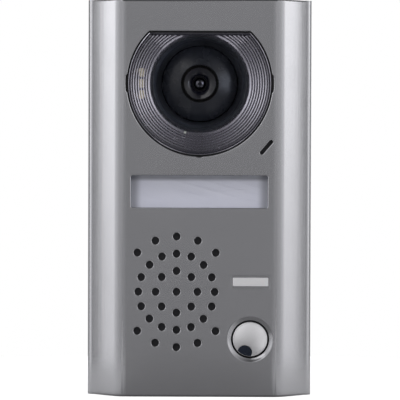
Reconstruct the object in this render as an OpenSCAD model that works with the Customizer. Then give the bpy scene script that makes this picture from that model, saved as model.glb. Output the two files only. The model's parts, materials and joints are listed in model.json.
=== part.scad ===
// Door intercom panel: a surface-mounted street station with a tilting camera behind a clear
// window, a name window, a speaker, a microphone and one call button.
// The back of the panel lies on the wall plane y = 0, the front faces -Y and +Z is up.

/* [Body] */
// Width of the panel across its side flanges
panel_w = 98; // [98:0.5:104]
// Height of the panel
panel_h = 173; // [173:0.5:185]
// Depth from the wall to the flat front
panel_d = 28.5; // [28.3:0.1:28.7]
// Half width of the flat part of the front
flat_half = 31.5; // [31.4:0.1:31.7]
// Depth of the curved cover, from the front to the joint with the chassis
cover_d = 12; // [11.8:0.1:12.2]
// Wall thickness of the cover
cover_wall = 2.3; // [2.2:0.05:2.35]

/* [Camera] */
// Height of the camera centre above the middle of the panel
camera_z = 49.9; // [49:0.1:50.5]
// Radius of the window opening
window_r = 31.7; // [31.5:0.1:31.8]
// Height of the window's flat top above the camera centre
window_top = 22.7; // [22:0.1:23]
// Radius of the clear middle of the window, where the ribbed ring starts
ring_r = 21.2; // [21.1:0.05:21.3]
// Radius of the camera ball
ball_r = 18; // [17.8:0.1:18]

/* [Name window] */
// Height of the name window above the middle of the panel
name_z = 2.9; // [2:0.1:3.5]
// Width of the name window
name_w = 59.5; // [57:0.5:59.5]
// Height of the name window
name_h = 14; // [12:0.5:14]

/* [Speaker] */
// Sideways position of the speaker
speaker_x = -9.8; // [-9.8:0.1:-9]
// Height of the speaker, below the middle of the panel
speaker_z = -40.7; // [-41:0.1:-40]
// Radius of one sound hole
sound_hole_r = 1.6; // [1.3:0.1:1.7]

/* [Call button] */
// Sideways position of the call button
button_x = 22.3; // [22:0.1:22.8]
// Height of the call button, below the middle of the panel
button_z = -61.3; // [-61.5:0.1:-61]
// Radius of the button cap
button_r = 7.6; // [7:0.1:7.7]
// How far the button can be pressed
button_travel = 0.8; // [0.5:0.1:0.8]

/* [Wall fixing] */
// Sideways spacing of the wall screws
wall_screw_x = 60; // [56:1:64]
// Upright spacing of the wall screws
wall_screw_z = 120; // [110:1:124]
// Radius of a wall screw hole
wall_screw_r = 2.25; // [2:0.05:2.5]

/* [Hidden] */
$fn = 64;

// cover cross section: a bend off the flat front, then a long, nearly straight slope to the edge
bend_r = 9;
side_r = 100;
bend_end = 41;
side_end = 49;
land_half = 34;
flange_r = 3;
bend_x = flat_half;
side_cx = bend_x - (side_r - bend_r) * sin(bend_end);
side_cd = bend_r + (side_r - bend_r) * cos(bend_end);

// planes along the depth, all negative because the front faces -Y
front_y = -panel_d;
cover_back = front_y + cover_wall;
joint_y = front_y + cover_d;
floor_front = -4;
floor_back = -2;
seal_y = -1;
plate_t = 1.5;
wall = 4;
end_wall = 3.5;
over = 0.5;

// board
board_y = [-13, -11.4];
board_x = 40;
board_z = [-72, 20];
board_posts = [[-36, -68], [36, -68], [-36, 16], [36, 16]];

// screws that close the case
case_posts = [[-38, -78], [38, -78], [-38, 78], [38, 78]];
hook_x = [-24, 24];
hook_w = 10;
entry_w = 36;
entry_z = [-64, -16];
tamper_y = -7;
head_room_r = 5;

// camera
ball_front = -25;
ball_y = ball_front + ball_r;
window_y = [front_y + 0.35, front_y + 2.6];
rim_y = [front_y + 3.1, front_y + 4.3];
shroud_y = [-25.6, -14.8, -13.3];
plate_y = [-13.3, -11.3];
led_y = [-22.6, -21.4];
camera_lugs = [[-33.2, -16], [33.2, -16], [-33.2, 19], [33.2, 19]];
led_posts = [60, 120, 240, 300];
led_angles = [150, 180, 210, -30, 0, 30];
led_r = 25.6;
sensor_at = [-6.3, -21.3];
pin_r = 1.5;
rib_pitch = 1.5;
rib_rows = 5;

// name window stack
name_tray_size = [67, 18.6];
name_sheet = [60, 14.6];
name_y = [front_y + 0.7, cover_back, cover_back + 1.2, cover_back + 1.6, cover_back + 4.6];

// badge
badge_at = [22.4, -36.3];
badge_recess = [16.7, 5.4, 0.9];
badge_size = [15.6, 3.9, 0.75];

// call button
dish_r = 9.9;
button_bore = 8.3;
cap_y = [front_y + 0.4, front_y + 2.4];
stem_r = 3;
guide_floor = [-21.5, -19.5];
stem_end = -18.6;
switch_y = [-17, -13];
plunger_end = -15.2;
guide_ear = 13.6;
lens_at = [-2.3, -5.85];
lens_r = 3.25;
groove_r = 2.3;
clip_y = [-19.45, -18.95];

// microphone
mic_at = [29.1, 22.3];
mic_slot = [7.7, 1.6];
mic_tilt = 49;
mic_y = [cover_back, cover_back + 0.3, cover_back + 3, cover_back + 5];

// speaker
basket_r = 20;
speaker_screw_at = [24.6, 7];
mesh_y = [cover_back, cover_back + 0.3];
gasket_y = [mesh_y[1], mesh_y[1] + 1];
flange_y = [gasket_y[1], gasket_y[1] + 1.2];
basket_y = -18.8;
magnet_y = -14.2;

// ---------- helpers ----------

// flat outline drawn as seen from the front, made solid between two depths
module slab(y) translate([0, y[1], 0]) rotate([90, 0, 0]) linear_extrude(y[1] - y[0]) children();

// round bar along Y at a place on the front
module bar(at, r, y) translate([at[0], y[1], at[1]]) rotate([90, 0, 0]) cylinder(r = r, h = y[1] - y[0]);

// cone along Y with a front and a back radius
module taper(at, r_front, r_back, y)
    translate([at[0], y[1], at[1]]) rotate([90, 0, 0]) cylinder(r1 = r_back, r2 = r_front, h = y[1] - y[0]);

// turned shape about the Y axis, from points [radius, y]
module turned(points) rotate([90, 0, 0]) rotate_extrude($fn = 96) polygon([for (p = points) [p[0], -p[1]]]);

// block given by its limits
module block(x, y, z) translate([x[0], y[0], z[0]]) cube([x[1] - x[0], y[1] - y[0], z[1] - z[0]]);

// pan head screw along Y: head at the back, shank towards the front
module screw(at, shank, head, y_head, y_tip) {
    bar(at, head, y_head);
    bar(at, shank, [y_tip, y_head[0]]);
}

// thin wire through points, with round joints
module wire(points, r) {
    for (i = [0 : len(points) - 2]) {
        a = points[i];
        b = points[i + 1];
        d = b - a;
        translate(a) rotate([0, acos(d[2] / norm(d)), atan2(d[1], d[0])])
            cylinder(r = r, h = norm(d), $fn = 16);
        translate(b) sphere(r = r * 1.02, $fn = 16);
    }
}

// circle with a flat top, as the camera window is
module d_shape(r, top) intersection() {
    circle(r = r, $fn = 128);
    translate([-r - 1, -r - 1]) square([2 * r + 2, r + 1 + top]);
}

// oval of the speaker: a circle with both sides cut flat
module speaker_oval(r, half) intersection() {
    circle(r = r);
    square([2 * half, 2 * r + 1], center = true);
}

// ---------- case ----------

// right half of the cover's outline, inset by t, as points [x, depth]
function side_points(t) = concat(
    [[bend_x, t]],
    [for (a = [3 : 3 : bend_end - 2]) [bend_x + (bend_r - t) * sin(a), bend_r - (bend_r - t) * cos(a)]],
    [for (a = [bend_end : 1.5 : side_end + 3])
        [side_cx + (side_r - t) * sin(a), side_cd - (side_r - t) * cos(a)]]
);

// full outline of the cover, open towards the wall
function cover_outline(t) = let(s = side_points(t), n = len(s) - 1) concat(
    [for (p = s) [p[0], p[1] - panel_d]],
    [[s[n][0], 0]], [[-s[n][0], 0]],
    [for (i = [n : -1 : 0]) [-s[i][0], s[i][1] - panel_d]]
);

module cover_block(t, half) intersection() {
    translate([0, 0, -half]) linear_extrude(2 * half) polygon(cover_outline(t));
    block([-60, 60], [front_y - 1, joint_y], [-half - 1, half + 1]);
}

module sound_holes() for (p = concat(
    [[0, 0]],
    [for (i = [0 : 7]) [9.1, i * 45]],
    [for (i = [0 : 15]) [16.6, i * 22.5]],
    [for (side = [90, 270], i = [-2 : 2]) [24.1, side + i * 22.5]]
)) translate([speaker_x + p[0] * cos(p[1]), 0, speaker_z + p[0] * sin(p[1])])
    bar([0, 0], sound_hole_r, [front_y - over, cover_back + over]);

// curved cover with its openings; inside it has a flat land that the window, tray and speaker sit on
module front_cover() color([0.47, 0.47, 0.49]) difference() {
    union() {
        difference() {
            cover_block(0, panel_h / 2);
            intersection() {
                cover_block(cover_wall, panel_h / 2 - cover_wall);
                block([-60, 60], [cover_back, 0], [-panel_h, panel_h]);
            }
            block([-land_half, land_half], [cover_back, cover_back + 2],
                [cover_wall - panel_h / 2, panel_h / 2 - cover_wall]);
        }
        intersection() {
            for (p = case_posts) bar(p, 3.4, [cover_back - 1, joint_y]);
            cover_block(1, panel_h / 2 - 1);
        }
        for (p = camera_lugs) bar([p[0], p[1] + camera_z], 3, [cover_back - 0.2, plate_y[0] - 0.1]);
        for (sx = [-1, 1], sz = [-1, 1])
            bar([speaker_x + sx * speaker_screw_at[0], speaker_z + sz * speaker_screw_at[1]], 2,
                [cover_back - 0.2, flange_y[1]]);
        for (s = [-1, 1]) bar([button_x, button_z + s * guide_ear], 2.6, [cover_back - 0.2, -21.2]);
    }
    translate([0, 0, camera_z]) slab([front_y - over, cover_back + over]) d_shape(window_r, window_top);
    for (s = [-1, 1]) block([s * window_r - 0.6, s * window_r + 0.6], [front_y - over, cover_back + over],
        [camera_z - 3.5, camera_z + 3.5]);
    slab([front_y - over, cover_back + over]) translate([-name_w / 2, name_z - name_h / 2])
        square([name_w, name_h]);
    translate([mic_at[0], 0, mic_at[1]]) rotate([0, -mic_tilt, 0]) {
        slab([front_y - over, cover_back + over])
            square([mic_slot[0] - mic_slot[1], mic_slot[1]], center = true);
        for (s = [-1, 1]) bar([s * (mic_slot[0] - mic_slot[1]) / 2, 0], mic_slot[1] / 2,
            [front_y - over, cover_back + over]);
    }
    sound_holes();
    translate([badge_at[0], 0, badge_at[1]]) slab([front_y - over, front_y + badge_recess[2]])
        square([badge_recess[0], badge_recess[1]], center = true);
    taper([button_x, button_z], dish_r + 0.5, button_bore, [front_y - 0.4, front_y + 1.1]);
    bar([button_x, button_z], button_bore, [front_y, cover_back + over]);
    for (p = case_posts) bar(p, 1.25, [joint_y - 8, joint_y + over]);
    for (p = camera_lugs) bar([p[0], p[1] + camera_z], 1.05, [-21, -13]);
    for (sx = [-1, 1], sz = [-1, 1])
        bar([speaker_x + sx * speaker_screw_at[0], speaker_z + sz * speaker_screw_at[1]], 0.95,
            [flange_y[1] - 2.3, flange_y[1] + over]);
    for (s = [-1, 1]) bar([button_x, button_z + s * guide_ear], 0.95, [-25, -21]);
}

module wall_screw_holes(r, y) for (sx = [-1, 1], sz = [-1, 1])
    bar([sx * wall_screw_x / 2, sz * wall_screw_z / 2], r, y);

// rounded front corner of the chassis flange, as seen from above
function flange_outline() = concat(
    [[-panel_w / 2, seal_y]],
    [for (a = [0 : 7.5 : 90])
        [flange_r - panel_w / 2 - flange_r * cos(a), joint_y + flange_r - flange_r * sin(a)]],
    [for (a = [90 : -7.5 : 0])
        [panel_w / 2 - flange_r + flange_r * cos(a), joint_y + flange_r - flange_r * sin(a)]],
    [[panel_w / 2, seal_y]]
);

module seal_ring(grow) difference() {
    block([-46.7 - grow, 46.7 + grow], [joint_y, joint_y + 0.8 + grow], [-85.4 - grow, 85.4 + grow]);
    block([-45.7 + grow, 45.7 - grow], [joint_y - 1, joint_y + 2], [-84.4 + grow, 84.4 - grow]);
}

module chassis() color([0.62, 0.62, 0.64]) difference() {
    union() {
        difference() {
            translate([0, 0, -panel_h / 2]) linear_extrude(panel_h) polygon(flange_outline());
            block([wall - panel_w / 2, panel_w / 2 - wall], [joint_y - 1, floor_front],
                [end_wall - panel_h / 2, panel_h / 2 - end_wall]);
            block([2.5 - panel_w / 2, panel_w / 2 - 2.5], [floor_back, 0],
                [2.5 - panel_h / 2, panel_h / 2 - 2.5]);
        }
        for (p = case_posts) bar(p, 3.6, [joint_y, floor_front]);
        for (p = board_posts) bar(p, 3, [board_y[1], floor_front]);
    }
    seal_ring(0);
    for (p = case_posts) {
        bar(p, 1.6, [joint_y - over, 0]);
        bar(p, 3, [-4.6, 0]);
    }
    for (p = board_posts) bar(p, 1.05, [board_y[1] - over, -5.5]);
    block([-entry_w / 2, entry_w / 2], [floor_front - over, 0], entry_z);
    for (x = hook_x)
        block([x - hook_w / 2 - 0.5, x + hook_w / 2 + 0.5], [floor_front - over, 0], [70.5, 76.3]);
    block([-8.5, 8.5], [floor_front - over, 0], [-81.5, -76.5]);
    wall_screw_holes(head_room_r, [floor_front - over, 0]);
    translate([0, tamper_y, -panel_h / 2 - over]) cylinder(r = 1.7, h = 5);
    translate([0, tamper_y, -panel_h / 2 - over]) cylinder(r = 3.2, h = over + 1.8);
}

module perimeter_seal() color([0.1, 0.1, 0.1]) seal_ring(0);

module wall_seal() color([0.12, 0.12, 0.12]) difference() {
    block([-panel_w / 2, panel_w / 2], [seal_y, 0], [-panel_h / 2, panel_h / 2]);
    block([2.5 - panel_w / 2, panel_w / 2 - 2.5], [-2, 1], [2.5 - panel_h / 2, panel_h / 2 - 2.5]);
}

module wall_bracket() color([0.7, 0.71, 0.73]) difference() {
    union() {
        block([-42, 42], [-plate_t, 0], [-80, 80]);
        for (x = hook_x) {
            block([x - hook_w / 2, x + hook_w / 2], [-6.5, 0], [74.5, 76]);
            block([x - hook_w / 2, x + hook_w / 2], [-6.5, -5], [74.5, 79]);
        }
        block([-8, 8], [-11, 0], [-80, -78]);
    }
    wall_screw_holes(wall_screw_r, [-plate_t - over, over]);
    block([-entry_w / 2, entry_w / 2], [-plate_t - over, over], entry_z);
    translate([0, tamper_y, -81]) cylinder(r = 1.5, h = 4);
}

module security_screw() color([0.55, 0.56, 0.58]) translate([0, tamper_y, 0]) difference() {
    union() {
        translate([0, 0, -panel_h / 2]) cylinder(r = 3, h = 1.8);
        translate([0, 0, -panel_h / 2 + 1.8]) cylinder(r = 1.48, h = 8.7);
    }
    translate([0, 0, -panel_h / 2 - over]) cylinder(r = 1.3, h = over + 1.2, $fn = 6);
}

module cover_screws() color([0.6, 0.61, 0.63]) for (p = case_posts) difference() {
    screw(p, 1.2, 2.8, [-4.6, -2.6], -22);
    bar(p, 1.1, [-3.8, -2]);
}

// ---------- camera ----------

// saw-tooth ring face: ribs of one pitch from the clear middle outwards
function ribs(y, depth, shift) = [for (i = [0 : rib_rows - 1], s = [0, 1])
    [ring_r + 0.6 + shift + (i + s / 2) * rib_pitch, s == 0 ? y : y + depth]];

module camera_window() color([0.8, 0.82, 0.86, 0.4]) translate([0, 0, camera_z]) difference() {
    union() {
        slab([window_y[0], rim_y[0]]) d_shape(window_r - 0.6, window_top - 0.6);
        slab(rim_y) d_shape(window_r + 1.5, window_top + 1.5);
    }
    slab([window_y[1], rim_y[1] + over]) d_shape(window_r - 1.5, window_top - 1.5);
    intersection() {
        turned(concat([[ring_r + 0.6, window_y[1] + 1]], ribs(window_y[1], -0.5, 0),
            [[ring_r + 0.6 + rib_rows * rib_pitch, window_y[1]],
            [ring_r + 0.6 + rib_rows * rib_pitch, window_y[1] + 1]]));
        slab([-30, -20]) d_shape(window_r - 1.5, window_top - 1.5);
    }
}

module window_gasket() color([0.05, 0.05, 0.05]) translate([0, 0, camera_z])
    slab([cover_back, rim_y[0]]) difference() {
        d_shape(window_r + 1.5, window_top + 1.5);
        d_shape(window_r - 0.5, window_top - 0.5);
    }

module light_diffuser() color([0.72, 0.72, 0.8]) translate([0, 0, camera_z]) intersection() {
    difference() {
        turned(concat([[ring_r + 0.3, -23.5], [ring_r + 0.3, -25.1]], ribs(-25.1, -0.4, 0.4),
            [[29.9, -25.1], [29.9, -23.5]]));
        bar(sensor_at, 1.35, [-27, -22]);
    }
    slab([-27, -22]) translate([-40, -40]) square([80, 40 + window_top - 1.9]);
}

module ring_board(r_in, r_out, y) slab(y) difference() {
    d_shape(r_out, window_top - 1);
    circle(r = r_in);
}

module led_board() color([0.05, 0.3, 0.15]) translate([0, 0, camera_z]) difference() {
    ring_board(20.8, 30, led_y);
    for (a = led_posts) bar([26 * cos(a), 26 * sin(a) * 0.93], 0.9, [-24, -20]);
}

module illumination_leds() color([0.95, 0.93, 0.75]) translate([0, 0, camera_z]) for (a = led_angles)
    rotate([0, -a, 0]) translate([led_r, 0, 0]) block([-1.5, 1.5], [led_y[0] - 0.8, led_y[0]], [-1.4, 1.4]);

module light_sensor() color([0.85, 0.86, 0.8]) translate([0, 0, camera_z])
    bar(sensor_at, 0.95, [-25.3, led_y[0]]);

module lens_shroud() color([0.04, 0.04, 0.05]) translate([0, 0, camera_z]) turned([
    [20.2, shroud_y[0]], [ring_r, shroud_y[0]], [ring_r, shroud_y[0] + 0.5], [20.4, shroud_y[0] + 1.3],
    [20.4, shroud_y[1]], [22, shroud_y[1]], [22, shroud_y[2]], [17.5, shroud_y[2]],
    [16.8, shroud_y[1] + 0.5], [18.7, shroud_y[1] - 0.4], [19.2, shroud_y[1] - 1]
]);

module camera_bracket() color([0.25, 0.26, 0.28]) translate([0, 0, camera_z]) difference() {
    union() {
        slab(plate_y) union() {
            circle(r = 29);
            for (s = [-1, 1]) translate([s > 0 ? 0 : -36.2, -19]) square([36.2, 41]);
        }
        for (a = led_posts) bar([26 * cos(a), 26 * sin(a) * 0.93], 2.2, [led_y[1], plate_y[0]]);
        for (s = [-1, 1]) block([s * 20 - 1, s * 20 + 1], [plate_y[0], -4.7], [-4, 4]);
    }
    bar([0, 0], 18.7, [-16, plate_y[1] + over]);
    for (p = camera_lugs) bar(p, 1.2, [-15, -10]);
    for (a = led_posts) bar([26 * cos(a), 26 * sin(a) * 0.93], 0.85, [-24, -15]);
    translate([-25, ball_y, 0]) rotate([0, 90, 0]) cylinder(r = pin_r + 0.05, h = 50);
}

module camera_screws() color([0.6, 0.61, 0.63]) translate([0, 0, camera_z]) {
    for (p = camera_lugs) screw(p, 1, 2.2, [plate_y[1], plate_y[1] + 1.6], -19);
    for (a = led_posts) {
        bar([26 * cos(a), 26 * sin(a) * 0.93], 0.8, [led_y[0], -17]);
        bar([26 * cos(a), 26 * sin(a) * 0.93], 1.7, [led_y[0] - 0.7, led_y[0]]);
    }
}

// ball shell, cut off behind, with a shallow cone in front, a web that holds the lens and two trunnion pins
module camera_ball() color([0.05, 0.05, 0.06]) translate([0, 0, camera_z]) difference() {
    union() {
        intersection() {
            difference() {
                translate([0, ball_y, 0]) rotate([90, 0, 0]) sphere(r = ball_r, $fn = 96);
                translate([0, ball_y, 0]) rotate([90, 0, 0]) sphere(r = ball_r - 1.5, $fn = 96);
            }
            block([-30, 30], [-30, -10], [-30, 30]);
        }
        turned([[8, -23.02], [16.2, -19.25], [16.3, -18.65], [14.2, -16.9], [8, -22.2]]);
        bar([0, 0], 14, [-17, -15.5]);
        for (s = [-1, 1]) {
            block([s * 16.7 - 0.9, s * 16.7 + 0.9], [-11, -5], [-2.6, 2.6]);
            translate([s > 0 ? 16.7 : -21, ball_y, 0]) rotate([0, 90, 0]) cylinder(r = pin_r, h = 4.3);
        }
    }
    bar([0, 0], 8.2, [-30, -18]);
    bar([0, 0], 7, [-18, -14]);
}

module lens_barrel() color([0.12, 0.12, 0.13]) translate([0, 0, camera_z]) turned([
    [5.8, -23.4], [7.2, -23.4], [7.2, -17.5], [6.97, -17.5], [6.97, -12.6], [5.6, -12.6],
    [5.6, -15], [3.3, -15], [3.3, -20.6], [4.1, -20.6], [4.1, -21.3]
]);

module lens_ring() color([0.03, 0.03, 0.03]) translate([0, 0, camera_z]) turned([
    [3.1, -21.5], [3.9, -21.5], [3.9, -20.7], [3.1, -20.7]
]);

module lens_glass() color([0.1, 0.12, 0.2, 0.7]) translate([0, 0, camera_z]) intersection() {
    translate([0, -16.5, 0]) sphere(r = 5.2, $fn = 64);
    bar([0, 0], 3.05, [-22.5, -17]);
}

module image_sensor() color([0.15, 0.15, 0.17]) translate([0, 0, camera_z])
    block([-4, 4], [-12.6, -11.2], [-4, 4]);

module sensor_board() color([0.05, 0.3, 0.15]) translate([0, 0, camera_z])
    block([-9, 9], [-11.2, -10], [-9, 9]);

// ---------- name window and badge ----------

module name_sheet_at(size, y) slab(y) translate([-size[0] / 2, name_z - size[1] / 2]) square(size);

module name_window() color([0.85, 0.86, 0.9, 0.4]) {
    name_sheet_at([name_w - 0.4, name_h - 0.4], [name_y[0], name_y[1]]);
    name_sheet_at([name_w + 3.5, name_h + 3.6], [name_y[1], name_y[2]]);
}

module name_card() color([0.92, 0.92, 0.95]) name_sheet_at(name_sheet, [name_y[2], name_y[3]]);

module name_light_guide() color([0.9, 0.92, 0.98, 0.5])
    name_sheet_at([name_sheet[0] - 3, name_sheet[1]], [name_y[3], name_y[4]]);

module name_tray() color([0.85, 0.85, 0.87]) difference() {
    name_sheet_at(name_tray_size, [name_y[2], name_y[4] + 1.2]);
    name_sheet_at([62.4, name_sheet[1] + 0.2], [name_y[2] - 1, name_y[4]]);
}

module name_leds() color([0.95, 0.95, 0.85]) for (s = [-1, 1], dz = [-3.5, 3.5])
    block([s * 29.8 - 1, s * 29.8 + 1], [name_y[3] + 0.4, name_y[4]],
        [name_z + dz - 1.4, name_z + dz + 1.4]);

module badge_plate() color([0.75, 0.75, 0.77]) translate([badge_at[0], 0, badge_at[1]])
    slab([front_y + badge_recess[2] - badge_size[2], front_y + badge_recess[2]])
        square([badge_size[0], badge_size[1]], center = true);

// ---------- call button ----------

module call_button_cap() color([0.75, 0.75, 0.77]) translate([button_x, 0, button_z]) difference() {
    union() {
        taper([0, 0], button_r - 0.4, button_r, [cap_y[0], cap_y[0] + 0.4]);
        bar([0, 0], button_r, [cap_y[0] + 0.4, cap_y[1]]);
        bar([0, 0], stem_r, [cap_y[1], clip_y[0]]);
        bar([0, 0], groove_r, [clip_y[0], clip_y[1]]);
        bar([0, 0], stem_r, [clip_y[1], stem_end]);
    }
    bar(lens_at, lens_r, [cap_y[0] - 1, cap_y[0] + 1.2]);
}

module call_button_lens() color([0.05, 0.06, 0.12]) translate([button_x, 0, button_z]) intersection() {
    bar(lens_at, lens_r, [cap_y[0] + 0.1, cap_y[0] + 1.2]);
    bar([0, 0], button_r - 0.35, [cap_y[0] - 1, cap_y[1]]);
}

// wire swept round an open helix between the cap and the guide floor
spring_r = 5.2;
spring_wire = 0.35;
spring_turns = 4;
spring_steps = 16;
function spring_ring(i) = let(
    a = i * 360 / spring_steps,
    y = cap_y[1] + 0.4 + (guide_floor[0] - cap_y[1] - 0.8) * i / (spring_turns * spring_steps)
) [for (k = [0 : 7]) let(r = spring_r + spring_wire * cos(k * 45))
    [r * cos(a), y + spring_wire * sin(k * 45), r * sin(a)]];

module button_spring() color([0.7, 0.7, 0.72]) translate([button_x, 0, button_z]) {
    n = spring_turns * spring_steps;
    polyhedron(
        points = [for (i = [0 : n]) each spring_ring(i)],
        faces = concat(
            [[0, 1, 2, 3, 4, 5, 6, 7]],
            [for (i = [0 : n - 1], k = [0 : 7]) [i * 8 + k, i * 8 + 8 + (k + 1) % 8, i * 8 + (k + 1) % 8]],
            [for (i = [0 : n - 1], k = [0 : 7]) [i * 8 + k, i * 8 + 8 + k, i * 8 + 8 + (k + 1) % 8]],
            [[for (k = [7 : -1 : 0]) n * 8 + k]]
        )
    );
}

module button_guide() color([0.1, 0.1, 0.11]) translate([button_x, 0, button_z]) difference() {
    union() {
        bar([0, 0], 10.6, [cover_back, guide_floor[1]]);
        for (s = [-1, 1]) bar([0, s * guide_ear], 2.9, [-21.1, guide_floor[1]]);
        block([-2.6, 2.6], [-21.1, guide_floor[1]], [-guide_ear, guide_ear]);
    }
    bar([0, 0], 8.6, [cover_back - 1, guide_floor[0]]);
    bar([0, 0], stem_r + 0.05, [-25, -19]);
    for (s = [-1, 1]) bar([0, s * guide_ear], 1.15, [-24, -19]);
}

module guide_screws() color([0.6, 0.61, 0.63]) for (s = [-1, 1])
    screw([button_x, button_z + s * guide_ear], 0.9, 1.8, [guide_floor[1], guide_floor[1] + 1.2], -24.5);

module button_clip() color([0.5, 0.5, 0.52]) translate([button_x, 0, button_z]) difference() {
    bar([0, 0], 4.4, clip_y);
    bar([0, 0], groove_r, [clip_y[0] - 1, clip_y[1] + 1]);
    block([-groove_r, groove_r], [clip_y[0] - 1, clip_y[1] + 1], [-6, 0]);
}

module call_switch() color([0.15, 0.15, 0.16]) translate([button_x, 0, button_z]) difference() {
    block([-6, 6], switch_y, [-6, 6]);
    bar([0, 0], 1.8, [switch_y[0] - 1, plunger_end + button_travel + 0.2]);
}

module switch_plunger() color([0.3, 0.3, 0.32]) bar([button_x, button_z], 1.75, [stem_end, plunger_end]);

// ---------- microphone ----------

module mic_boot() color([0.08, 0.08, 0.08]) difference() {
    bar(mic_at, 4.6, [mic_y[0], mic_y[3]]);
    bar(mic_at, 3.9, [mic_y[0] - 1, mic_y[1]]);
    bar(mic_at, 3.05, [mic_y[0], mic_y[2] + 0.2]);
    bar(mic_at, 1, [mic_y[2], mic_y[3] + 1]);
}

module mic_mesh() color([0.2, 0.2, 0.2]) bar(mic_at, 3.85, [mic_y[0], mic_y[1]]);

module microphone() color([0.8, 0.8, 0.78]) bar(mic_at, 3, [mic_y[1], mic_y[2]]);

module mic_lead() color([0.6, 0.1, 0.1]) wire([
    [mic_at[0], mic_y[2], mic_at[1]], [mic_at[0], -18, mic_at[1]], [28, -15, 12], [26, board_y[0] - 0.6, 8]
], 0.5);

// ---------- speaker ----------

module at_speaker() translate([speaker_x, 0, speaker_z]) children();

module speaker_mesh() color([0.08, 0.08, 0.08]) at_speaker() slab(mesh_y) speaker_oval(27.4, 22.4);

module speaker_gasket() color([0.12, 0.12, 0.12]) at_speaker() slab(gasket_y) difference() {
    speaker_oval(27.4, 22.4);
    speaker_oval(26, 20.8);
}

module speaker_frame() color([0.35, 0.36, 0.38]) at_speaker() difference() {
    union() {
        slab(flange_y) speaker_oval(27.4, 22.4);
        bar([0, 0], basket_r, [flange_y[0], basket_y]);
    }
    bar([0, 0], 18.6, [flange_y[0] - 0.1, basket_y - 1.2]);
    bar([0, 0], 8.6, [-22, basket_y + 1]);
}

module speaker_cone() color([0.15, 0.14, 0.13]) at_speaker() turned([
    [0, -21.6], [4, -21.9], [7.6, -21], [17.6, -24.4], [18.5, -24.4], [18.5, -24], [7.8, -20.4],
    [4, -21.4], [0, -21.1]
]);

module speaker_magnet() color([0.3, 0.3, 0.32]) at_speaker() difference() {
    union() {
        bar([0, 0], 12, [basket_y, magnet_y]);
        bar([0, 0], 5.5, [-20.2, basket_y]);
    }
    bar([0, 0], 1.5, [-15.5, magnet_y + 1]);
}

module speaker_screws() color([0.6, 0.61, 0.63]) for (sx = [-1, 1], sz = [-1, 1])
    screw([speaker_x + sx * speaker_screw_at[0], speaker_z + sz * speaker_screw_at[1]], 0.9, 2.45,
        [flange_y[1], flange_y[1] + 1.2], flange_y[1] - 2.1);

module speaker_leads() color([0.75, 0.1, 0.1]) for (s = [-1, 1]) wire([
    [speaker_x + 14 + s, basket_y + 0.6, speaker_z + 8 + 3 * s],
    [speaker_x + 20 + s, -16.5, speaker_z + 10 + 4 * s],
    [speaker_x + 24, board_y[0] - 0.6, speaker_z + 12 + 4 * s]
], 0.45);

// ---------- electronics ----------

module main_board() color([0.05, 0.3, 0.15]) difference() {
    block([-board_x, board_x], board_y, board_z);
    for (p = board_posts) bar(p, 1.5, [-15, -10]);
}

module board_screws() color([0.6, 0.61, 0.63]) for (p = board_posts) {
    bar(p, 1, [board_y[0], -6]);
    bar(p, 2.4, [board_y[0] - 1.6, board_y[0]]);
}

module main_chips() color([0.1, 0.1, 0.1]) {
    block([-22, -10], [board_y[0] - 1.2, board_y[0]], [-8, 4]);
    block([0, 9], [board_y[0] - 1.2, board_y[0]], [-6, 3]);
    block([-34, -28], [board_y[0] - 1.2, board_y[0]], [-6, 0]);
}

module capacitors() color([0.2, 0.22, 0.35]) {
    bar([22, -22], 4, [board_y[0] - 8, board_y[0]]);
    bar([32, -22], 4, [board_y[0] - 8, board_y[0]]);
    bar([34, -46], 3, [board_y[0] - 6, board_y[0]]);
}

module lock_relay() color([0.12, 0.2, 0.45]) block([18, 36], [board_y[0] - 7, board_y[0]], [-12, -2]);

module terminal_block() color([0.1, 0.35, 0.2]) difference() {
    block([-15, 15], [board_y[1], -4.8], [-62, -52]);
    for (i = [0 : 5]) {
        bar([-12.5 + 5 * i, -58], 1.6, [-7, -4]);
        block([-14 + 5 * i, -11 + 5 * i], [-9.5, -6.5], [-54, -51]);
    }
}

module terminal_screws() color([0.7, 0.7, 0.65]) for (i = [0 : 5]) difference() {
    bar([-12.5 + 5 * i, -58], 1.5, [-7, -5.6]);
    block([-14.5 + 5 * i, -10.5 + 5 * i], [-6, -5], [-58.3, -57.7]);
}

front_cover();
chassis();
perimeter_seal();
wall_seal();
wall_bracket();
security_screw();
cover_screws();
camera_window();
window_gasket();
light_diffuser();
led_board();
illumination_leds();
light_sensor();
lens_shroud();
camera_bracket();
camera_screws();
camera_ball();
lens_barrel();
lens_ring();
lens_glass();
image_sensor();
sensor_board();
name_window();
name_card();
name_light_guide();
name_tray();
name_leds();
badge_plate();
call_button_cap();
call_button_lens();
button_spring();
button_guide();
guide_screws();
button_clip();
call_switch();
switch_plunger();
mic_boot();
microphone();
mic_mesh();
mic_lead();
speaker_mesh();
speaker_gasket();
speaker_frame();
speaker_cone();
speaker_magnet();
speaker_screws();
speaker_leads();
main_board();
board_screws();
main_chips();
capacitors();
lock_relay();
terminal_block();
terminal_screws();
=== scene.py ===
"""Door intercom panel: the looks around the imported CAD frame."""
import json
import math
import bpy
import bmesh
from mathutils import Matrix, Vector
from mathutils.geometry import tessellate_polygon

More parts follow.
